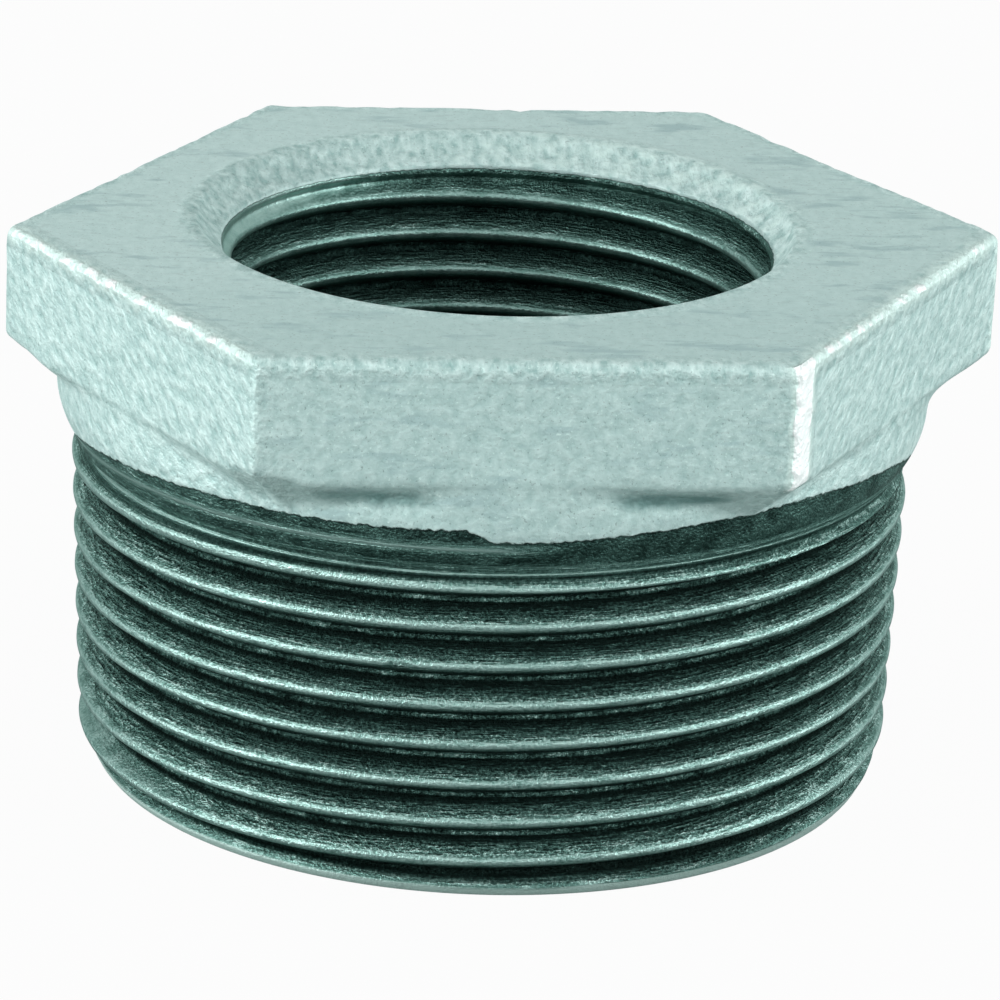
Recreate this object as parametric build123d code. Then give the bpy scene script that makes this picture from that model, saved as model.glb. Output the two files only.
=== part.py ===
from build123d import *
import math
import os

# Reducing hex bushing, size 1 1/2 x 1, one piece of galvanised malleable cast iron.
# Z is the pipe axis. The threaded end stands on Z = 0 and the hexagon is on top,
# with two of its corners on the X axis. All lengths are in millimetres.

total_height = 31.7

# Hexagon head. A wrench grips its flats; below them the casting slopes in to a round collar.
# One flat, as cast, lies nearer the axis than the other five.
across_flats = 50.0
flat_height = 7.2
corner_radius = 0.6
top_edge_radius = 0.6
lower_edge_radius = 0.7
short_flat_inset = 1.6
short_flat_direction = 150.0
underside_angle = 33.0
underside_height = 2.4

# Round collar between the head and the thread, tangent to the middle of each flat.
collar_drop = 9.7

# Pipe thread form: 11 turns to the inch, with 55 degree flanks.
thread_pitch = 2.309
thread_depth = 1.479
flank_angle = 27.5

# External thread, size 1 1/2, tapered 1 in 16 on the diameter and measured at its small end.
male_small_end_diameter = 47.01
male_taper = 1 / 16
male_root_flat = 0.32
male_start_angle = 118.0
male_lead_radius = 22.3
male_lead_height = 1.4
runout_height = 4.6

# Bore of the internal thread, size 1, at the crests of the thread. It is tapped from the top.
female_minor_diameter = 30.291
female_thread_length = 20.0

# Mouth of the internal thread: an as-cast countersink, then a machined chamfer.
countersink_radius = 17.3
countersink_depth = 1.1
chamfer_radius = 15.85
chamfer_depth = 1.2
mouth_edge_break = 0.3

# Cored hole below the internal thread, with the core's draft towards the open end.
cored_top_radius = 17.0
cored_bottom_radius = 17.5
cored_shoulder_height = 1.8

# How far a cutting solid passes the surface that it opens.
cutter_clearance = 0.2


def ring(points):
    """Revolve a closed outline of (radius, height) points about the pipe axis."""
    outline = Plane.XZ * make_face(Polyline(*points, close=True))
    return revolve(outline, Axis.Z)


def hexagon(flats, height):
    """A flat hexagon at a height, with rounded corners and its short flat moved in."""
    outline = RegularPolygon(radius=flats / 2, side_count=6, major_radius=False)
    beyond_short_flat = Pos(flats - short_flat_inset, 0) * Rectangle(flats, 2 * flats)
    outline -= Rot(0, 0, short_flat_direction) * beyond_short_flat
    rounded = fillet(outline.vertices(), radius=corner_radius)
    return Pos(0, 0, height) * rounded


def edges_at(solid, height):
    """The edges of a solid that lie level at one height."""
    return solid.edges().filter_by_position(Axis.Z, height, height)


def groove(path):
    """What the die cuts along a helix at the thread's root: a vee with a narrow flat."""
    reach = thread_depth + cutter_clearance
    half_root = male_root_flat / 2
    half_mouth = half_root + reach * math.tan(math.radians(flank_angle))
    section = make_face(
        Polyline(
            (0, -half_root),
            (0, half_root),
            (reach, half_mouth),
            (reach, -half_mouth),
            close=True,
        )
    )
    start = path @ 0
    frame = Plane(origin=start, x_dir=Vector(start.X, start.Y, 0), z_dir=path % 0)
    return sweep(frame * section, path=path, is_frenet=True)


# Heights and radii that follow from the sizes above
flats_bottom = total_height - flat_height
collar_bottom = total_height - collar_drop
collar_radius = across_flats / 2
male_slope = male_taper / 2
female_minor_radius = female_minor_diameter / 2
female_bottom = total_height - female_thread_length
countersink_bottom = total_height - countersink_depth
chamfer_bottom = countersink_bottom - chamfer_depth


def male_crest_radius(height):
    """Crest radius of the tapered external thread at a height."""
    return male_small_end_diameter / 2 + male_slope * height


# Hexagon head, with its sloped underside
underside_inset = underside_height / math.tan(math.radians(underside_angle))
head = extrude(hexagon(across_flats, flats_bottom), amount=flat_height)
head += loft(
    [
        hexagon(across_flats, flats_bottom),
        hexagon(across_flats - 2 * underside_inset, flats_bottom - underside_height),
    ]
)
head = fillet(edges_at(head, total_height), top_edge_radius)
head = fillet(edges_at(head, flats_bottom), lower_edge_radius)

# Threaded end: a tapered blank with a lead-in chamfer, and the thread cut into it
threaded_end = ring(
    [
        (0, 0),
        (male_lead_radius, 0),
        (male_crest_radius(male_lead_height), male_lead_height),
        (male_crest_radius(collar_bottom), collar_bottom),
        (0, collar_bottom),
    ]
)
first_turn = -thread_pitch
turn_count = math.ceil((collar_bottom - first_turn) / thread_pitch)
for turn in range(turn_count):
    turn_bottom = first_turn + turn * thread_pitch
    root_helix = Helix(
        pitch=thread_pitch,
        height=thread_pitch,
        radius=male_crest_radius(turn_bottom) - thread_depth,
        center=(0, 0, turn_bottom),
        cone_angle=math.degrees(math.atan(male_slope)),
    )
    threaded_end -= Rot(0, 0, male_start_angle) * groove(root_helix)

# Collar, with the cone under it that the last thread turns run out into
runout_bottom = collar_bottom - runout_height
runout_radius = male_crest_radius(runout_bottom) - thread_depth - cutter_clearance
collar = ring(
    [
        (0, runout_bottom),
        (runout_radius, runout_bottom),
        (collar_radius, collar_bottom),
        (collar_radius, flats_bottom),
        (0, flats_bottom),
    ]
)

# Through hole: cored cavity, drilled bore, chamfer and as-cast countersink
hole = ring(
    [
        (0, -cutter_clearance),
        (cored_bottom_radius, -cutter_clearance),
        (cored_bottom_radius, 0),
        (cored_top_radius, female_bottom - cored_shoulder_height),
        (female_minor_radius, female_bottom),
        (female_minor_radius, chamfer_bottom),
        (chamfer_radius, countersink_bottom),
        (countersink_radius, total_height),
        (countersink_radius, total_height + cutter_clearance),
        (0, total_height + cutter_clearance),
    ]
)

bushing = threaded_end + collar + head - hole
mouth = edges_at(bushing, total_height).filter_by(GeomType.CIRCLE).group_by(SortBy.RADIUS)[-1]
bushing = chamfer(mouth, mouth_edge_break)

os.makedirs("parts", exist_ok=True)
export_step(bushing, "parts/bushing.step")
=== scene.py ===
import math

import bpy
import numpy as np
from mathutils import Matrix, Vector, noise


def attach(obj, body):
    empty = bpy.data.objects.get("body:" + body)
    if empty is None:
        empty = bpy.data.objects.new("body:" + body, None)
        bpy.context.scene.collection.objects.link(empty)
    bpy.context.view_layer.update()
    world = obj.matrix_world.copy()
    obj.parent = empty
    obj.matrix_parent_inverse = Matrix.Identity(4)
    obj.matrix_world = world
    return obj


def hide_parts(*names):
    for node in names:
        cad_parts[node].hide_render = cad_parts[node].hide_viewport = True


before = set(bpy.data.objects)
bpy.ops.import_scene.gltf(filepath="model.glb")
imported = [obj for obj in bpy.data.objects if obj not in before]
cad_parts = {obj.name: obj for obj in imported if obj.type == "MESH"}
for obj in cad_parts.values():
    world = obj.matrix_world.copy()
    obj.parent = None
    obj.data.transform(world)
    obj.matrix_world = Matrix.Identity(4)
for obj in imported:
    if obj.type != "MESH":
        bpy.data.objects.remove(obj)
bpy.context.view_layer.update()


# ---------------------------------------------------------------- The blank
# The bushing is one malleable iron casting. Its cross-section is drawn as an outline and spun about
# the pipe axis, from the mouth, over the hexagon and down the outside, then up through the hole.
# Lengths are in mm up to the studio, and named angles are in degrees.
MM = 0.001
HEIGHT = 31.7            # over all
HALF_WIDTH = 25.0        # from the axis to a flat
UPPER_ROUND = 0.55       # rounding of the head's upper edge
LOWER_ROUND = 0.6        # and of its lower edge
HEAD_DEPTH = 7.3         # from the top face to the head's underside
PITCH = 2.309            # both threads, 11 turns to the inch
THREAD_DEPTH = 1.479
COLUMNS = 300            # places round the axis
CROWDING = 0.45          # how much closer together they stand at the hexagon's corners

# The as-cast countersink, as radii and depths under the top face
CHAMFER_RADIUS = 15.85
COUNTERSINK_RADIUS = 17.65
COUNTERSINK = ((CHAMFER_RADIUS, 1.1), (16.1, 0.97), (16.35, 0.83), (16.6, 0.66), (16.8, 0.5), (16.97, 0.34),
               (17.12, 0.18), (17.25, 0.07), (17.42, 0.02), (COUNTERSINK_RADIUS, 0.0))
CROWN_START = 18.0       # the top face's rows are spread out to the hexagon later
CROWN_STEP = 0.7
CROWN_ROWS = 8
SLOPE_STEP = 0.22        # rows of the head's sloped underside and the collar
SLOPE_ROWS = 10
THREAD_BOTTOM = 0.2      # the outside thread's rows: lowest height, and depth of the highest
THREAD_TOP_DEPTH = 9.6
TAP_BOTTOM = 10.6        # and the same for the inside thread
TAP_TOP_DEPTH = 1.2

# The flat ring at the foot and the rounded edge of the cored hole, as radii and heights
FOOT = ((22.5, 0.09), (22.42, 0.03), (22.32, 0.0), (21.0, 0.0), (19.4, 0.0), (17.9, 0.0), (17.7, 0.04),
        (17.56, 0.13), (17.5, 0.3))
SHOULDER = ((16.7, 9.95), (16.3, 10.35))

# Where one turn of a rounded pipe thread needs points, measured from its crest
TURN_POINTS = (-0.281, -0.15, 0.0, 0.15, 0.281, 0.48, 0.68, 0.873, 1.02, 1.1545, 1.289, 1.436, 1.63, 1.83)

# The rows climb with the threads, starting from this direction
FRONT = -94.4
OUTER_CREST_AT_ZERO = 0.75       # height of an outside crest where the angle is 0
INNER_ROOT_AT_ZERO = 29.37       # and of an inside root; the lowest crest is 12 and a half turns down
outer_first = OUTER_CREST_AT_ZERO + PITCH * FRONT / 360
inner_first = INNER_ROOT_AT_ZERO + PITCH * (FRONT + 180) / 360 - 12.5 * PITCH


def thread_rows(first_crest, bottom, top):
    """Heights of the rows that follow a thread's turns, from top to bottom."""
    turns = range(-1, 16)
    heights = [first_crest + turn * PITCH + point for turn in turns for point in TURN_POINTS]
    return sorted((h for h in heights if bottom <= h <= top), reverse=True)


outline = []             # (zone, radius, height) of each row
for row_radius, depth in COUNTERSINK:
    outline.append(("mouth", row_radius, HEIGHT - depth))
for step in range(1, CROWN_ROWS + 1):
    outline.append(("crown", CROWN_START + step * CROWN_STEP, HEIGHT))
for turn in (0, 18, 36, 54, 72, 90):
    outline.append(("edge", HALF_WIDTH - UPPER_ROUND + UPPER_ROUND * math.sin(math.radians(turn)),
                    HEIGHT - UPPER_ROUND + UPPER_ROUND * math.cos(math.radians(turn))))
for step in range(1, 9):
    outline.append(("flat", HALF_WIDTH, HEIGHT - UPPER_ROUND - step * 0.68))
for turn in (0, 15, 30, 45, 57):
    outline.append(("lower", HALF_WIDTH - LOWER_ROUND + LOWER_ROUND * math.cos(math.radians(turn)),
                    HEIGHT - HEAD_DEPTH + LOWER_ROUND - LOWER_ROUND * math.sin(math.radians(turn))))
for step in range(1, SLOPE_ROWS + 1):
    outline.append(("under", 24.6, HEIGHT - HEAD_DEPTH - step * SLOPE_STEP))
for row_height in thread_rows(outer_first, THREAD_BOTTOM, HEIGHT - THREAD_TOP_DEPTH):
    outline.append(("outside", 24.0, row_height))
for row_radius, row_height in FOOT:
    outline.append(("foot", row_radius, row_height))
for step in range(1, 11):
    outline.append(("cavity", 17.5 - step * 0.05, 0.3 + step * 0.92))
for row_radius, row_height in SHOULDER:
    outline.append(("shoulder", row_radius, row_height))
for row_height in reversed(thread_rows(inner_first, TAP_BOTTOM, HEIGHT - TAP_TOP_DEPTH)):
    outline.append(("inside", 15.2, row_height))

blank = bpy.data.meshes.new("bushing_iron")
row_count = len(outline)
blank.from_pydata([(r * MM, 0, z * MM) for zone, r, z in outline],
                  [(i, (i + 1) % row_count) for i in range(row_count)], [])
row_number = blank.attributes.new("row", "FLOAT", "POINT")
row_number.data.foreach_set("value", [float(i) for i in range(row_count)])
bushing = bpy.data.objects.new("bushing_iron", blank)
bpy.context.collection.objects.link(bushing)

bpy.ops.object.select_all(action="DESELECT")
bushing.select_set(True)
bpy.context.view_layer.objects.active = bushing
bpy.ops.object.mode_set(mode="EDIT")
bpy.ops.mesh.select_all(action="SELECT")
bpy.ops.mesh.spin(steps=COLUMNS, angle=math.tau, center=(0, 0, 0), axis=(0, 0, 1))
bpy.ops.mesh.select_all(action="SELECT")
bpy.ops.mesh.remove_doubles(threshold=0.002 * MM)
bpy.ops.mesh.normals_make_consistent(inside=False)
bpy.ops.object.mode_set(mode="OBJECT")

# From here on, each point of the blank has its row, its zone, a radius, a height and an angle, which
# is in radians from the X axis
count = len(blank.vertices)
place = np.empty(count * 3)
blank.vertices.foreach_get("co", place)
place = place.reshape(-1, 3) / MM
row = np.empty(count)
blank.attributes["row"].data.foreach_get("value", row)
row = np.rint(row).astype(int)
zone = np.array([entry[0] for entry in outline])[row]
radius = np.array([entry[1] for entry in outline])[row]
height = np.array([entry[2] for entry in outline])[row]
angle = np.arctan2(place[:, 1], place[:, 0])
angle = angle - CROWDING * np.sin(6 * angle) / 6


# ---------------------------------------------------------------- The hexagon head and its collar
# Cast in a sand mould with draft and soft corners, and left as cast. One flat came out of the
# mould nearer the axis than the other five, and the core for the mouth sat a little to one side.
FLAT_NORMALS = (30, 90, 150, 210, 270, 330)
FLAT_DISTANCES = (24.97, 24.92, 23.38, 24.97, 24.92, 24.97)
CORNER_SOFTNESS = 0.14

# Corner by corner from angle 0: how far its lower edge lies above the flats', and the share of the way
# to mid-flat that this takes to fade
CORNER_RISE = (-0.1, 0.5, 0.5, 0.6, 0.5, 0.15)
CORNER_REACH = (0.38, 0.07, 0.07, 0.38, 0.07, 0.07)
UNDERSIDE_SLOPE = math.tan(math.radians(36))
UNDERSIDE_INSET = 0.3
COLLAR_RADIUS = 24.95
COLLAR_NARROWING = 1.32          # how much narrower the collar is where the thread begins
COLLAR_LENGTH = 3.2
COLLAR_TOP = 22.6                # height where it starts to narrow
COLLAR_BOTTOM_DEPTH = 9.52
RIM_CENTRE = (-0.1, 0.9)
RIM_RADII = (17.0, 17.75)
RIM_TURN = 1.5
RIM_NOMINAL = 17.2               # radius that the countersink's outline was drawn for


def smooth_step(value):
    """0 below 0, 1 above 1, and a soft slope between."""
    held = np.clip(value, 0, 1)
    return held * held * (3 - 2 * held)


def soft_max(a, b, reach):
    """The larger of two, blended over a reach."""
    return np.maximum(a, b) + np.maximum(reach - np.abs(a - b), 0) ** 2 / (4 * reach)


def cast_noise(points, grain, seed):
    """Random swell and dip of a cast skin, about -1 to 1, with features of one grain size."""
    shift = Vector((seed * 17.3, seed * 5.1, seed * 9.7))
    return np.array([noise.noise(Vector(point) / grain + shift) for point in points])


def hexagon_radius(inset):
    """How far out the hexagon's side lies at each point's angle, with its corners rounded."""
    total = np.zeros(count)
    for normal, distance in zip(FLAT_NORMALS, FLAT_DISTANCES):
        facing = np.cos(angle - math.radians(normal))
        reach = np.where(facing > 0.3, (distance - inset) / np.maximum(facing, 0.3), 90.0)
        total += np.exp(-(reach - HALF_WIDTH) / CORNER_SOFTNESS)
    return HALF_WIDTH - CORNER_SOFTNESS * np.log(total)


nearest_corner = np.rint(np.degrees(angle) / 60).astype(int) % 6
corner_share = np.cos(3 * angle) ** 2         # 1 at the corners, 0 at mid-flat
corner_reach = np.array(CORNER_REACH)[nearest_corner]
rise = np.array(CORNER_RISE)[nearest_corner] * smooth_step((corner_share - 1) / corner_reach + 1)
underside = HEIGHT - HEAD_DEPTH + rise        # height of the head's underside at its rim
side = hexagon_radius(0)


def cast_radius(at_height):
    """How far out the casting lies under the flats: the sloped underside, then the collar."""
    slope = side - UNDERSIDE_INSET - (underside - at_height) / UNDERSIDE_SLOPE
    narrowed = (np.maximum(COLLAR_TOP - at_height, 0) / COLLAR_LENGTH) ** 2
    fillet = 0.5 + 0.9 * np.maximum(np.cos(angle), 0) ** 4
    return soft_max(slope, COLLAR_RADIUS - COLLAR_NARROWING * narrowed, fillet)


# A slow swell and a finer one
cast_zones = np.isin(zone, ("mouth", "crown", "edge", "flat", "lower", "under", "cavity"))
turned = np.column_stack([radius * np.cos(angle), radius * np.sin(angle), height])
swell = np.zeros(count)
swell[cast_zones] = (0.045 * cast_noise(turned[cast_zones], 5.0, 1)
                     + 0.035 * cast_noise(turned[cast_zones], 1.6, 2))

# The mouth's rim is a wide oval with its centre off the axis
rim_angle = angle - math.radians(RIM_TURN)
rim = 1 / np.sqrt((np.cos(rim_angle) / RIM_RADII[0]) ** 2 + (np.sin(rim_angle) / RIM_RADII[1]) ** 2)
rim = rim + RIM_CENTRE[0] * np.cos(angle) + RIM_CENTRE[1] * np.sin(angle)
rim_spread = (rim - CHAMFER_RADIUS) / (RIM_NOMINAL - CHAMFER_RADIUS)
rim_edge = CHAMFER_RADIUS + (COUNTERSINK_RADIUS - CHAMFER_RADIUS) * rim_spread
on = zone == "mouth"
radius[on] = CHAMFER_RADIUS + (radius[on] - CHAMFER_RADIUS) * rim_spread[on]

on = zone == "crown"
share = (radius - CROWN_START) / CROWN_STEP / (CROWN_ROWS + 1)
radius[on] = (rim_edge + (hexagon_radius(UPPER_ROUND) - rim_edge) * share)[on]
height[on] += 0.5 * swell[on] - 0.03

on = zone == "edge"              # beads of zinc along the edge leave small dips between them
dips = np.zeros(count)
dips[on] = 0.11 * np.maximum(cast_noise(turned[on], 1.1, 3) + 0.1, 0)
radius[on] = (side + (radius - HALF_WIDTH) + swell - dips)[on]
height[on] += (0.6 * swell - 0.04 - dips)[on]

on = zone == "flat"
flat_top = HEIGHT - UPPER_ROUND
flat_length = HEAD_DEPTH - LOWER_ROUND - UPPER_ROUND
radius[on] = (side + swell)[on]
height[on] = (flat_top - (flat_top - height) * (flat_length - rise) / flat_length)[on]

on = zone == "lower"
radius[on] = (soft_max(side + (radius - HALF_WIDTH), np.full(count, COLLAR_RADIUS), 0.3) + swell)[on]
height[on] = (height + rise)[on]

on = zone == "under"
lowered = (HEIGHT - HEAD_DEPTH - height) / (SLOPE_ROWS * SLOPE_STEP)
height[on] = (underside - 0.02 + (HEIGHT - COLLAR_BOTTOM_DEPTH - underside) * lowered)[on]
radius[on] = (cast_radius(height) + swell)[on]

on = zone == "cavity"
radius[on] += 1.5 * swell[on]


# ---------------------------------------------------------------- The outside thread
# Size 1 1/2 pipe thread, right-hand and tapered 1 in 16, cut by a die that stops under the collar,
# so the last two turns are shallower and their crests are left wide. Crests and roots are rounded.
CREST_RADIUS_AT_FOOT = 23.505
DIE_LEAN = 0.12                  # how far the die leaned, over the thread's radius
RUNOUT_START = 17.9              # height where the die starts to leave the work
RUNOUT_LENGTH = 3.6
RUNOUT_LIFT = 2.4
LEAD_RADIUS = 22.52              # of the chamfer at the foot
LEAD_SLOPE = 1.0 / 1.9
RING_TOP = 0.58                  # the first groove starts above a plain ring
LAST_CREST = 18.645              # height of the last full crest at the front
FLANK_ANGLE = 27.5
ARC_RADIUS = 0.317               # of the crests and roots
ARC_REACH = 0.2812               # half the width that an arc takes up along the axis

# Where a point lies on its thread, 0 in a root and 1 on a crest; the shader paints the roots in shade and the
# crests with a highlight
CREST_LEVEL = 0.93
SCRAPED_LEVEL = 0.87             # the foot's chamfer
SPENT_LEVEL = 0.53               # where the die ran out
# Painted highlights of the shallow crests that the spent die left, which the surface here doesn't carry, and
# one dark line:
# strength, distance above the last crest, width. The first of them is only left of the front.
PAINTED_DIE_LINES = ((0.50, 2.35, 0.28), (0.40, 1.1, 0.13), (0.50, 0.7, 0.12), (-0.35, 0.44, 0.1))


def thread_fall(distance):
    """How far a rounded thread lies below its crest, at a distance along the axis from it."""
    ahead = np.abs((distance + PITCH / 2) % PITCH - PITCH / 2)
    behind = np.maximum(PITCH / 2 - ahead, 0)
    crest = ARC_RADIUS - np.sqrt(np.maximum(ARC_RADIUS ** 2 - np.minimum(ahead, ARC_REACH) ** 2, 0))
    root = np.sqrt(np.maximum(ARC_RADIUS ** 2 - np.minimum(behind, ARC_REACH) ** 2, 0))
    root = THREAD_DEPTH - ARC_RADIUS + root
    arc_fall = ARC_RADIUS * (1 - math.sin(math.radians(FLANK_ANGLE)))
    flank = arc_fall + (ahead - ARC_REACH) / math.tan(math.radians(FLANK_ANGLE))
    return np.where(ahead < ARC_REACH, crest, np.where(behind < ARC_REACH, root, flank))


def climb(front):
    """How far a row that follows the thread has climbed; it steps back over 20 degrees at the rear."""
    around = (np.degrees(angle) - front + 180) % 360 - 180
    back = PITCH * 170 / 360 * np.sign(around) * (180 - np.abs(around)) / 10
    return np.where(np.abs(around) <= 170, PITCH * around / 360, back)


def peak(value, middle, width):
    """1 at the middle, falling off to both sides."""
    return np.exp(-((value - middle) / width) ** 2)


on = zone == "outside"           # the rows lie level at both ends and follow the thread between
follow = smooth_step(height / 2.6) * smooth_step((HEIGHT - 9.55 - height) / 3.2)
height[on] = (height + climb(FRONT) * follow)[on]
taper = CREST_RADIUS_AT_FOOT + height / 32
neck = taper - (0.3 + 0.15 * np.cos(angle)) * smooth_step((height - 18.5) / 0.6)
blank_radius = soft_max(cast_radius(height), neck, 0.2)
from_crest = height - OUTER_CREST_AT_ZERO - PITCH * np.degrees(angle) / 360 - DIE_LEAN * np.cos(angle)
runout = RUNOUT_LIFT * smooth_step((height - RUNOUT_START) / RUNOUT_LENGTH)
thread_radius = -soft_max(-blank_radius, thread_fall(from_crest) - taper - runout, 0.06)
lead = LEAD_RADIUS + height * LEAD_SLOPE
ring = 1 - smooth_step((height - RING_TOP) / 0.2)
thread_radius = thread_radius + np.maximum(lead - thread_radius, 0) * ring
over_lead = thread_radius - lead             # above 0 where the chamfer at the foot cuts the thread
thread_radius = -soft_max(-thread_radius, -lead, 0.08)
nick = peak(np.degrees(angle), -105.4, 0.9) * peak(height, 13.8, 0.35)
thread_radius = thread_radius - 0.25 * nick
radius[on] = thread_radius[on]

# Painted light of the thread: a highlight on its crests, shade in its roots, and painted lines above its last
# crest
outside_level = 1 - (np.maximum(blank_radius, taper) - thread_radius) / THREAD_DEPTH
right_of_front = (np.degrees(angle) + 90 + 180) % 360 - 180
from_front = np.where(np.abs(right_of_front) < 90, right_of_front,
                      np.sign(right_of_front) * (180 - np.abs(right_of_front)))
above_last = height - LAST_CREST - PITCH * from_front / 360
left_of_front = smooth_step((2 - right_of_front) / 12 + 0.5)
spent = smooth_step((above_last - 0.2) / 0.3)
painted_die_lines = [strength * peak(above_last, middle, width) for strength, middle, width in PAINTED_DIE_LINES]
painted_die_lines[0] = painted_die_lines[0] * left_of_front
outside_level = outside_level * (1 - spent) + spent * (SPENT_LEVEL + sum(painted_die_lines))

# The painted highlight bands are widened at the sides and on the lowest turns
at_side = smooth_step((np.abs(right_of_front) - 20) / 40)
low_turns = smooth_step((8 - height) / 6)
widened_highlight = 0.15 + (0.32 - 0.1 * np.cos(angle)) * at_side + 0.45 * low_turns
widened_highlight = widened_highlight * smooth_step((outside_level - 0.04) / 0.2)
outside_level = outside_level + widened_highlight * np.maximum(CREST_LEVEL - outside_level, 0)
outside_level = np.maximum(outside_level, 0.14 * smooth_step((2.0 - height) / 0.3))

# The chamfer at the foot is scraped, with a frayed painted highlight where the first turn's partial crest
# starts
scraped = np.maximum(ring, smooth_step(over_lead / 0.35))
frayed_highlight = peak(height, 0.8, 0.17)
outside_level = np.maximum(outside_level * (1 - scraped) + SCRAPED_LEVEL * scraped, CREST_LEVEL * frayed_highlight)


# ---------------------------------------------------------------- The inside thread
# Size 1 pipe thread, right-hand and parallel, tapped after casting. A machined chamfer starts it,
# and its first turn deepens over a quarter of a circle. It ends in the cored hole.
CREST_RADIUS_INSIDE = 15.1455
CHAMFER_BOTTOM_DEPTH = 2.35
CHAMFER_SLOPE = 0.70 / 1.25
TAP_END = 11.5                   # height below which the bore opens towards the cored hole
TAPPED_FROM = 10.4               # height where the tap's cut begins
SMOOTH_DIRECTION = 172           # the side where the chamfer is cut smoothest

on = zone == "inside"
follow = smooth_step((height - TAPPED_FROM) / 2.6) * smooth_step((HEIGHT - 1.1 - height) / 2.6)
height[on] = (height + climb(FRONT + 180) * follow)[on]
bore = CREST_RADIUS_INSIDE + np.maximum(height - HEIGHT + CHAMFER_BOTTOM_DEPTH, 0) * CHAMFER_SLOPE
bore = bore + np.maximum(TAP_END - height, 0)
from_root = height - INNER_ROOT_AT_ZERO - PITCH * np.degrees(angle) / 360
grooved = CREST_RADIUS_INSIDE + THREAD_DEPTH - thread_fall(from_root)
started = 1 - smooth_step((height - HEIGHT + 2.3) / 0.95)
radius[on] = (bore + np.maximum(grooved - bore, 0) * started)[on]

smooth_side = smooth_step((np.cos(angle - math.radians(SMOOTH_DIRECTION)) - 0.1) / 0.8)
chamfer_level = 0.76 + 0.22 * smooth_side
on_chamfer = smooth_step((height - HEIGHT + 2.45) / 0.35)
# Painted shade deepening towards the inside thread's roots, and a painted highlight on its crests
inside_level = CREST_LEVEL - 0.49 * (np.maximum(radius - bore, 0) / THREAD_DEPTH) ** 1.2
inside_level = inside_level * (1 - on_chamfer) + on_chamfer * chamfer_level

shaped = np.column_stack([radius * np.cos(angle), radius * np.sin(angle), height])
shaped[:, 1] = np.clip(shaped[:, 1], 0.01 - HALF_WIDTH, HALF_WIDTH - 0.01)    # inside the flats' width
blank.vertices.foreach_set("co", (shaped * MM).ravel())
blank.update()
blank.shade_smooth()


# ---------------------------------------------------------------- Where the cutters went
# The die and tap cut through the zinc skin. Five values are kept at each point of the surface: how
# far past the skin's edge it lies in mm, how high on its thread, how calm it is, its painted light and shade
# with the zinc beads, and how pale it is.
COUNTERSINK_CUT_DEPTH = 1.3      # the tap's chamfer starts here
CAST_CALM = 0.25                 # of the head's sides and the collar
FRONT_CALM = 0.40                # more on the front flat, which is smoother
CROWN_CALM = 0.9
TAPPED_CALM = 0.7
FOOT_LEVEL = 0.72                # shine of the flat ring at the foot
CORED_EDGE_RADIUS = 17.6         # of the cored hole where the foot was faced
RIGHT_SIDE_FROM = 296            # angle where the right-hand side begins
CREASE_SHADE_HEIGHT = HEIGHT - 8.0       # of the crease under the front flat

# The skin's lower edge: angles, and heights from the top face. It steps down left of the front.
SKIN_EDGE = ((-7.4, -12.3), (5.6, -11.2), (30, -10.2), (90, -9.8), (150, -10.0), (165.6, -11.0),
             (180.6, -12.3), (195.6, -10.8), (208.6, -10.2), (225.6, -9.83), (241.6, -9.78),
             (254.6, -9.68), (264.4, -9.5), (265.4, -10.23), (274.6, -10.14), (279.6, -9.99),
             (293.6, -9.62), (309.6, -9.4), (328.6, -9.83), (338.6, -10.5), (352.6, -12.3))

# Corners with a painted highlight along their rounding: angle, half the width, strength
CORNER_HIGHLIGHTS = ((301.4, 1.85, 1.35), (240, 0.8, 0.3), (180, 1.5, 0.5), (0, 1.5, 0.5))

turned_to = np.degrees(angle) % 360
foot_edge = (zone == "foot") & (radius > 21.8)

skin_edge = HEIGHT + np.interp(turned_to, [a for a, h in SKIN_EDGE], [h for a, h in SKIN_EDGE], period=360)
past_tap_edge = 2.4 * (HEIGHT - COUNTERSINK_CUT_DEPTH - height)
past_edge = skin_edge - height
past_edge = np.where(np.isin(zone, ("crown", "edge", "flat", "lower")), -2.0, past_edge)
past_edge = np.where(zone == "mouth", past_tap_edge, past_edge)
past_edge = np.where(zone == "foot", np.clip(radius - CORED_EDGE_RADIUS, -1, 2), past_edge)
past_edge = np.where(zone == "cavity", -1.0, past_edge)
past_edge = np.where(zone == "shoulder", height - TAPPED_FROM, past_edge)
tapped = np.clip(np.minimum(height - TAPPED_FROM, past_tap_edge), -1, 2)
past_edge = np.where(zone == "inside", tapped, past_edge)

level = np.where(zone == "outside", outside_level, FOOT_LEVEL)
level = np.where((zone == "mouth") & (height < HEIGHT - 0.9), chamfer_level, level)
level = np.where(zone == "inside", inside_level, level)
level = np.where(foot_edge, SCRAPED_LEVEL, level)

# Calm: how far the grain is smoothed out
cast_calm = CAST_CALM + FRONT_CALM * smooth_step((32 - np.abs(turned_to - 270)) / 6)
cut_calm = np.maximum(scraped, 0.6 * spent)
below_skin = smooth_step((past_edge + 0.1) / 0.3)
calm = np.where(np.isin(zone, ("flat", "lower", "under")), cast_calm, 0.0)
calm = np.where(zone == "crown", CROWN_CALM, calm)
calm = np.where(zone == "outside", cast_calm + (cut_calm - cast_calm) * below_skin, calm)
calm = np.where(zone == "inside", TAPPED_CALM, calm)
calm = np.where(foot_edge, 1.0, calm)

# The back of the top face is paler, and so is the thread's skin at the right
paler = smooth_step((np.sin(angle) + 1) / 0.6) * (0.8 - 0.2 * np.cos(angle))
paler = np.where(zone == "crown", paler, 0.0)
paler = np.where((zone == "outside") & (turned_to > RIGHT_SIDE_FROM), 1.0, paler)
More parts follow.
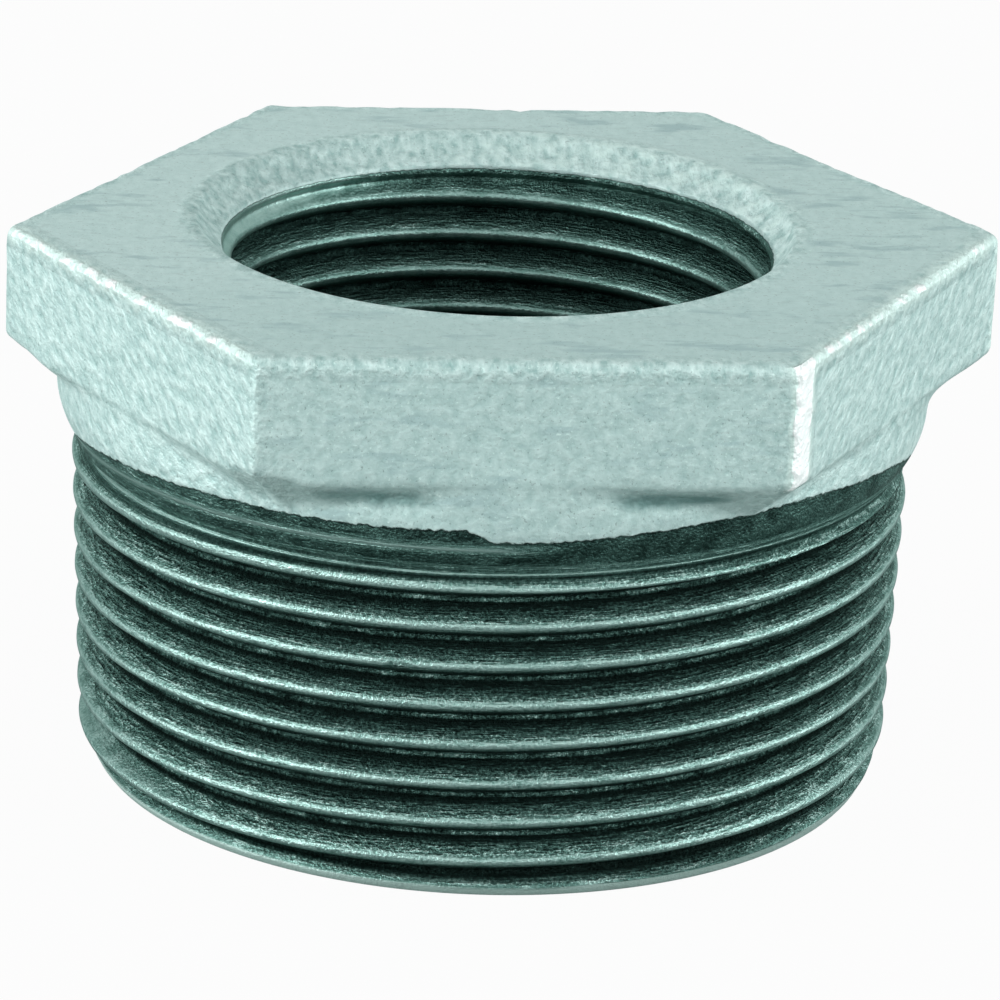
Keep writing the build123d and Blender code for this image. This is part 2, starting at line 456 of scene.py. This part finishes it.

# Painted light and zinc beads: above 0 a painted highlight with beads along the side edges and rounded
# corners, and lighter with beads at the countersink's back right; below 0 painted shade in the crease under
# the front flat, and darker on the countersink's smooth left side
off_front = np.abs((turned_to - 90) % 360 - 180)
lit_sides = smooth_step((off_front - 26) / 8) * (1 - smooth_step((off_front - 84) / 12))
first_edge_row = [entry[0] for entry in outline].index("edge")
across_edge = np.clip(1.4 - np.abs(row - first_edge_row - 2.6) / 3.2, 0, 1)
# A painted highlight along the head's upper edge at the left and right sides
painted_light_and_beads = np.where(zone == "edge", across_edge * 0.78 * lit_sides, 0.0)
rim_lightening = 0.02 + 0.32 * smooth_step(np.cos(angle - math.radians(50)))
painted_light_and_beads = np.where(zone == "mouth", rim_lightening * (1 - smooth_side) - 0.27 * smooth_side, painted_light_and_beads)
over_corner = np.isin(zone, ("flat", "lower")) | ((zone == "edge") & (row > first_edge_row + 1))
for corner_angle, half_width, strength in CORNER_HIGHLIGHTS:
    apart = np.abs((turned_to - corner_angle + 180) % 360 - 180)
    corner_highlight = strength * smooth_step((half_width - apart) / 1.7 + 0.5)
    painted_light_and_beads = np.where(over_corner, np.maximum(painted_light_and_beads, corner_highlight), painted_light_and_beads)

# Painted shade in the crease under the front flat, away from the middle where the collar meets it
off_middle = np.abs(turned_to - 270)
crease_shade = (0.7 + 0.15 * np.cos(angle)) * smooth_step((off_middle - 8) / 7) * smooth_step((28 - off_middle) / 6)
painted_light_and_beads = np.where(zone == "under", -crease_shade * peak(height, CREASE_SHADE_HEIGHT, 0.62), painted_light_and_beads)

for name, values in (("past_edge", past_edge), ("level", level), ("calm", calm), ("painted_light_and_beads", painted_light_and_beads),
                     ("paler", paler)):
    kept = blank.attributes.new(name, "FLOAT", "POINT")
    kept.data.foreach_set("value", values.astype(np.float32))
blank.attributes.remove(blank.attributes["row"])


# ---------------------------------------------------------------- Hot-dip galvanised malleable iron
# Zinc on a sand-cast skin: pale grey with a cool tint, half matt, with a grain of bumps that the light
# catches.
# Where the die and tap cut, the torn flanks are in painted shade and the crests carry a painted highlight.
iron = bpy.data.materials.new("galvanised_malleable_iron")
iron.use_nodes = True
tree = iron.node_tree
tree.nodes.clear()


def colour(hex_value):
    """An sRGB hex colour as linear red, green, blue and alpha."""
    parts = [int(hex_value[i:i + 2], 16) / 255 for i in (1, 3, 5)]
    return tuple(c / 12.92 if c <= 0.04045 else ((c + 0.055) / 1.055) ** 2.4 for c in parts) + (1,)


def per_grain(width):
    """The noise scale at which one grain is this wide."""
    return 1 / (width * MM)


def add(nodes_of, kind, settings=None, inputs=None):
    """Add a node with its settings. Each input is a value, or the output or the node that feeds it."""
    node = nodes_of.nodes.new(kind)
    for name, value in (settings or {}).items():
        setattr(node, name, value)
    for name, value in (inputs or {}).items():
        if isinstance(value, bpy.types.Node):
            value = value.outputs[0]
        if isinstance(value, bpy.types.NodeSocket):
            nodes_of.links.new(value, node.inputs[name])
        else:
            node.inputs[name].default_value = value
    return node


# The inputs of Math and Mix nodes go by number. A colour Mix has its colours at 6 and 7 and gives
# its result at 2.
where = add(tree, "ShaderNodeTexCoord").outputs["Object"]
past = add(tree, "ShaderNodeAttribute", {"attribute_name": "past_edge"}).outputs["Fac"]
up_thread = add(tree, "ShaderNodeAttribute", {"attribute_name": "level"}).outputs["Fac"]
stillness = add(tree, "ShaderNodeAttribute", {"attribute_name": "calm"}).outputs["Fac"]
light_and_beads = add(tree, "ShaderNodeAttribute", {"attribute_name": "painted_light_and_beads"}).outputs["Fac"]
pale = add(tree, "ShaderNodeAttribute", {"attribute_name": "paler"}).outputs["Fac"]

# The skin's edge is torn: its line wanders by a tenth of a millimetre, with teeth 0.4 mm wide
tear = add(tree, "ShaderNodeTexNoise", inputs={"Vector": where, "Scale": per_grain(0.41667), "Detail": 2.0,
                                               "Roughness": 0.5})
torn = add(tree, "ShaderNodeMath", {"operation": "MULTIPLY_ADD"}, {0: tear, 1: 0.36, 2: past})
cut = add(tree, "ShaderNodeMapRange", inputs={"Value": torn, "From Min": 0.15, "From Max": 0.21})

# Relief of the skin: ripples half a millimetre wide, drawn out towards the front and down, on a
# slower swell. Real zinc also has a finer grain. The grit is as fine as still shows.
drag = add(tree, "ShaderNodeMapping", {"vector_type": "TEXTURE"},
           {"Vector": where, "Rotation": (math.radians(31), 0, 0), "Scale": (1, 2.2, 1)})
ripple = add(tree, "ShaderNodeTexNoise", inputs={"Vector": drag, "Scale": per_grain(0.5), "Detail": 3.0,
                                                 "Roughness": 0.55})
slow_swell = add(tree, "ShaderNodeTexNoise", inputs={"Vector": where, "Scale": per_grain(0.90909),
                                                     "Detail": 2.0, "Roughness": 0.5})
grit = add(tree, "ShaderNodeTexNoise", inputs={"Vector": where, "Scale": per_grain(0.181818), "Detail": 2.0,
                                               "Roughness": 0.6})
liveliness = add(tree, "ShaderNodeMapRange", inputs={"Value": stillness, "To Min": 1.0, "To Max": 0.12})
ripple_height = add(tree, "ShaderNodeMath", {"operation": "MULTIPLY"}, {0: ripple, 1: liveliness})

# Colour of the skin: two greys that follow the ripples, and evener where the skin is calm
evened = add(tree, "ShaderNodeMath", {"operation": "MULTIPLY_ADD"}, {0: stillness, 1: 0.42, 2: ripple_height})
evened = add(tree, "ShaderNodeMath", {"operation": "MULTIPLY_ADD"}, {0: pale, 1: 0.07, 2: evened})
tone = add(tree, "ShaderNodeValToRGB", inputs={0: evened})
tone.color_ramp.elements[0].position = 0.30
tone.color_ramp.elements[0].color = colour("#93b3b0")
tone.color_ramp.elements[1].position = 0.66
tone.color_ramp.elements[1].color = colour("#c9e0dd")

# Faint dashes 0.3 mm wide and, where the skin is calm, grey streaks a millimetre or so wide and
# four times as long
brush = add(tree, "ShaderNodeMapping", {"vector_type": "TEXTURE"}, {"Vector": where, "Scale": (3, 1, 1)})
dashes = add(tree, "ShaderNodeTexNoise", inputs={"Vector": brush, "Scale": per_grain(0.3125), "Detail": 2.0,
                                                 "Roughness": 0.5})
dash_tone = add(tree, "ShaderNodeMapRange", inputs={"Value": dashes, "From Min": 0.30, "From Max": 0.42,
                                                    "To Min": 0.91, "To Max": 1.0})
dashed = add(tree, "ShaderNodeVectorMath", {"operation": "SCALE"}, {0: tone, "Scale": dash_tone})
streaked = add(tree, "ShaderNodeMapping", {"vector_type": "TEXTURE"}, {"Vector": where, "Scale": (4, 1.4, 1)})
patches = add(tree, "ShaderNodeTexNoise", inputs={"Vector": streaked, "Scale": per_grain(1.11111),
                                                  "Detail": 3.0, "Roughness": 0.6})
patchy = add(tree, "ShaderNodeMapRange", inputs={"Value": patches, "From Min": 0.45, "From Max": 0.34})
patchy = add(tree, "ShaderNodeMath", {"operation": "MULTIPLY"}, {0: patchy, 1: stillness})
dashed = add(tree, "ShaderNodeMix", {"data_type": "RGBA"}, {0: patchy, 6: dashed, 7: colour("#9db9b9")})

# Small dark pits, then a lighter colour for painted glints, painted highlights on edges and corners, and the
# countersink's back right
pits = add(tree, "ShaderNodeMapRange", inputs={"Value": grit, "From Min": 0.29, "From Max": 0.37,
                                               "To Min": 0.66, "To Max": 1.0})
pitted = add(tree, "ShaderNodeVectorMath", {"operation": "SCALE"}, {0: dashed.outputs[2], "Scale": pits})
lightened = add(tree, "ShaderNodeMath", {"operation": "MULTIPLY_ADD"}, {0: slow_swell, 1: 0.9, 2: light_and_beads})
lightened = add(tree, "ShaderNodeMapRange", inputs={"Value": lightened, "From Min": 0.70, "From Max": 1.05})
# Painted glints: small bright specks, off the crown
painted_glints = add(tree, "ShaderNodeMapRange", inputs={"Value": grit, "From Min": 0.63, "From Max": 0.70,
                                                 "To Max": 0.65})
off_crown = add(tree, "ShaderNodeMapRange", inputs={"Value": stillness, "From Min": 0.88, "From Max": 0.78})
painted_glints = add(tree, "ShaderNodeMath", {"operation": "MULTIPLY"}, {0: painted_glints, 1: off_crown})
lightened = add(tree, "ShaderNodeMath", {"operation": "MAXIMUM"}, {0: lightened, 1: painted_glints})
skin = add(tree, "ShaderNodeMix", {"data_type": "RGBA"}, {0: lightened, 6: pitted, 7: colour("#d0e7e2")})

# Painted shade in the crease, and painted highlights almost white on the rounded corners
crease_shaded = add(tree, "ShaderNodeMath", {"operation": "MULTIPLY_ADD"}, {0: slow_swell, 1: 0.5, 2: light_and_beads})
crease_shaded = add(tree, "ShaderNodeMapRange", inputs={"Value": crease_shaded, "From Min": 0.1, "From Max": -0.45,
                                                 "To Max": 0.9})
skin = add(tree, "ShaderNodeMix", {"data_type": "RGBA"},
           {0: crease_shaded, 6: skin.outputs[2], 7: colour("#5f8380")})
white_highlight = add(tree, "ShaderNodeMath", {"operation": "MULTIPLY_ADD"}, {0: slow_swell, 1: 1.2, 2: light_and_beads})
white_highlight = add(tree, "ShaderNodeMapRange", inputs={"Value": white_highlight, "From Min": 1.38, "From Max": 1.55})
skin = add(tree, "ShaderNodeMix", {"data_type": "RGBA"}, {0: white_highlight, 6: skin.outputs[2], 7: colour("#eff7f6")})

# Colour of the cut thread, from its root to its crest: a painted reflection as a light line in the root,
# flanks in painted shade flecked with bright metal, and a painted highlight on the crest. Marks 1.4 mm long
# run along the turns.
fleck = add(tree, "ShaderNodeMapRange", inputs={"Value": grit, "From Min": 0.3, "From Max": 0.72,
                                                "To Min": -0.24, "To Max": 0.26})
fleck = add(tree, "ShaderNodeMath", {"operation": "MULTIPLY"}, {0: fleck, 1: liveliness})
flank_share = add(tree, "ShaderNodeMapRange", inputs={"Value": up_thread, "From Min": 0.93, "From Max": 0.80,
                                                      "To Min": 0.22, "To Max": 1.0})
flecked = add(tree, "ShaderNodeMath", {"operation": "MULTIPLY_ADD"}, {0: fleck, 1: flank_share, 2: up_thread})
across = add(tree, "ShaderNodeMath", {"operation": "MULTIPLY"}, {0: up_thread, 1: 0.03})
marks = add(tree, "ShaderNodeTexNoise", {"noise_dimensions": "4D"},
            {"Vector": where, "W": across, "Scale": per_grain(1.42857), "Detail": 2.0, "Roughness": 0.6})
mark_shift = add(tree, "ShaderNodeMapRange", inputs={"Value": marks, "From Min": 0.3, "From Max": 0.7,
                                                     "To Min": -0.28, "To Max": 0.26})
steadied = add(tree, "ShaderNodeMapRange", inputs={"Value": stillness, "To Min": 1.0, "To Max": 0.5})
mark_shift = add(tree, "ShaderNodeMath", {"operation": "MULTIPLY"}, {0: mark_shift, 1: steadied})
marked = add(tree, "ShaderNodeMath", {"operation": "MULTIPLY_ADD"},
             {0: mark_shift, 1: flank_share, 2: flecked})
# Painted reflection: a thin light line in the thread's roots
root_reflection = add(tree, "ShaderNodeMapRange", inputs={"Value": up_thread, "From Min": 0.07, "From Max": 0.0,
                                                  "To Max": 0.75})
thread_painted_light = add(tree, "ShaderNodeMath", {"operation": "ADD"}, {0: marked, 1: root_reflection})
thread = add(tree, "ShaderNodeValToRGB", inputs={0: thread_painted_light})
thread.color_ramp.elements[0].position = 0.0
thread.color_ramp.elements[0].color = colour("#0e1c19")
thread.color_ramp.elements[1].position = 1.0
thread.color_ramp.elements[1].color = colour("#96b4ae")
for at, tint in ((0.25, "#10201d"), (0.45, "#1d332f"), (0.70, "#415f59"), (0.88, "#5a7c75"),
                 (0.95, "#84a49e")):
    thread.color_ramp.elements.new(at).color = colour(tint)
foot_ring = add(tree, "ShaderNodeMapRange", inputs={"Value": stillness, "From Min": 0.8, "From Max": 1.0,
                                                    "To Max": 0.9})
thread = add(tree, "ShaderNodeMix", {"data_type": "RGBA"}, {0: foot_ring, 6: thread, 7: colour("#a2bbb5")})

# The two finishes meet in a painted shadow line 0.2 mm wide, for the step at the skin's edge
base = add(tree, "ShaderNodeMix", {"data_type": "RGBA"}, {0: cut, 6: skin.outputs[2], 7: thread.outputs[2]})
from_seam = add(tree, "ShaderNodeMath", {"operation": "SUBTRACT"}, {0: torn, 1: 0.22})
from_seam = add(tree, "ShaderNodeMath", {"operation": "ABSOLUTE"}, {0: from_seam})
seam_shadow = add(tree, "ShaderNodeMapRange", inputs={"Value": from_seam, "From Max": 0.12, "To Min": 0.42,
                                               "To Max": 1.0})
base = add(tree, "ShaderNodeVectorMath", {"operation": "SCALE"}, {0: base.outputs[2], "Scale": seam_shadow})

# Zinc skin is rougher and less of a mirror than cut iron, and the scraped foot is dry
rough = add(tree, "ShaderNodeMapRange", inputs={"Value": cut, "To Min": 0.6, "To Max": 0.4})
metal = add(tree, "ShaderNodeMapRange", inputs={"Value": cut, "To Min": 0.3, "To Max": 0.88})
dry = add(tree, "ShaderNodeMapRange", inputs={"Value": foot_ring, "From Max": 0.9, "To Min": 1.0,
                                              "To Max": 0.2})
metal = add(tree, "ShaderNodeMath", {"operation": "MULTIPLY"}, {0: metal, 1: dry})

# Relief: ripples and grit, beads of zinc along the edges and corners, and the torn flanks of the thread
skin_height = add(tree, "ShaderNodeMath", {"operation": "MULTIPLY_ADD"}, {0: grit, 1: 0.07, 2: ripple_height})
beaded = add(tree, "ShaderNodeMapRange", inputs={"Value": light_and_beads, "From Min": 0.8, "From Max": 1.35,
                                                 "To Min": 1.0, "To Max": 0.25})
beaded = add(tree, "ShaderNodeMath", {"operation": "MULTIPLY"}, {0: beaded, 1: light_and_beads})
bead = add(tree, "ShaderNodeMath", {"operation": "MULTIPLY"}, {0: slow_swell, 1: beaded})
capped = add(tree, "ShaderNodeMath", {"operation": "MINIMUM"}, {0: light_and_beads, 1: 0.8})
evening = add(tree, "ShaderNodeMath", {"operation": "SUBTRACT"}, {0: capped, 1: beaded})
bead = add(tree, "ShaderNodeMath", {"operation": "MULTIPLY_ADD"}, {0: evening, 1: 0.5, 2: bead})
skin_height = add(tree, "ShaderNodeMath", {"operation": "MULTIPLY_ADD"}, {0: bead, 1: 2.4, 2: skin_height})
flank_grit = add(tree, "ShaderNodeMath", {"operation": "MULTIPLY"}, {0: grit, 1: flank_share})
thread_height = add(tree, "ShaderNodeMath", {"operation": "MULTIPLY_ADD"},
                    {0: flank_grit, 1: 0.35, 2: marked})
relief = add(tree, "ShaderNodeMix", {"data_type": "FLOAT"}, {0: cut, 2: skin_height, 3: thread_height})
bump = add(tree, "ShaderNodeBump", inputs={"Strength": 1.0, "Distance": 0.27 * MM, "Height": relief})
shader = add(tree, "ShaderNodeBsdfPrincipled",
             inputs={"Base Color": base, "Roughness": rough, "Metallic": metal, "Normal": bump,
                     "Specular Tint": colour("#cce2dc")})
add(tree, "ShaderNodeOutputMaterial", inputs={"Surface": shader})
blank.materials.append(iron)

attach(bushing, "root")
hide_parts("bushing")


# ---------------------------------------------------------------- The studio
# A white table and background, a softbox on each side and a weaker one at the front. The camera's
# eye sees the table and the background as white, without more light on the bushing.
TABLE_SIZE = 6.0                 # the studio's lengths are in metres
AIM = Vector((0, 0, 0.015))      # what the softboxes point at
SOFTBOX_SIZE = 0.5
SOFTBOXES = (("softbox_left", (-0.6, -0.2, 0.09), 5.6), ("softbox_right", (0.6, -0.2, 0.09), 4.4),
             ("softbox_front", (0.0, -0.75, 0.2), 0.7))
CAMERA_PLACE = (-0.0224673, -0.2921883, 0.1200768)
CAMERA_TURN = (70.2711, -2.0836, -3.7844)
CAMERA_LENS = 193.489            # in mm, on a sensor 36 mm wide

bpy.ops.mesh.primitive_plane_add(size=TABLE_SIZE, location=(0, 0, 0))
table = bpy.context.object
table.name = "table_top"
table_white = bpy.data.materials.new("table_white")
table_white.use_nodes = True
table_tree = table_white.node_tree
table_tree.nodes.clear()
rays = add(table_tree, "ShaderNodeLightPath")
matt = add(table_tree, "ShaderNodeBsdfDiffuse", inputs={"Color": colour("#b4b8b8")})
glow = add(table_tree, "ShaderNodeEmission", inputs={"Strength": 1.0})
seen = add(table_tree, "ShaderNodeMath", {"operation": "MULTIPLY"},
           {0: rays.outputs["Is Camera Ray"], 1: 0.96})
sheet = add(table_tree, "ShaderNodeMixShader", inputs={0: seen, 1: matt, 2: glow})
add(table_tree, "ShaderNodeOutputMaterial", inputs={"Surface": sheet})
table.data.materials.append(table_white)

world = bpy.data.worlds.new("studio_white")
bpy.context.scene.world = world
world.use_nodes = True
sky_tree = world.node_tree
sky_tree.nodes.clear()
sky_rays = add(sky_tree, "ShaderNodeLightPath").outputs
shown = add(sky_tree, "ShaderNodeMath", {"operation": "MAXIMUM"},
            {0: sky_rays["Is Camera Ray"], 1: sky_rays["Is Glossy Ray"]})
shown = add(sky_tree, "ShaderNodeMath", {"operation": "MAXIMUM"},
            {0: shown, 1: sky_rays["Is Transmission Ray"]})
fill = add(sky_tree, "ShaderNodeBackground", inputs={"Color": colour("#f4f8f8"), "Strength": 0.52})
white = add(sky_tree, "ShaderNodeBackground", inputs={"Color": colour("#ffffff"), "Strength": 1.0})
both = add(sky_tree, "ShaderNodeMixShader", inputs={0: shown, 1: fill, 2: white})
add(sky_tree, "ShaderNodeOutputWorld", inputs={"Surface": both})

for name, lamp_place, power in SOFTBOXES:
    bpy.ops.object.light_add(type="AREA", location=lamp_place)
    lamp = bpy.context.object
    lamp.name = name
    lamp.data.size = SOFTBOX_SIZE
    lamp.data.energy = power
    lamp.rotation_euler = (AIM - Vector(lamp_place)).to_track_quat("-Z", "Y").to_euler()

bpy.ops.object.camera_add(location=CAMERA_PLACE, rotation=[math.radians(turn) for turn in CAMERA_TURN])
camera = bpy.context.object
camera.data.lens = CAMERA_LENS
camera.data.sensor_width = 36
camera.data.clip_start = 0.01
bpy.context.scene.camera = camera
bpy.context.scene.view_settings.view_transform = "Standard"
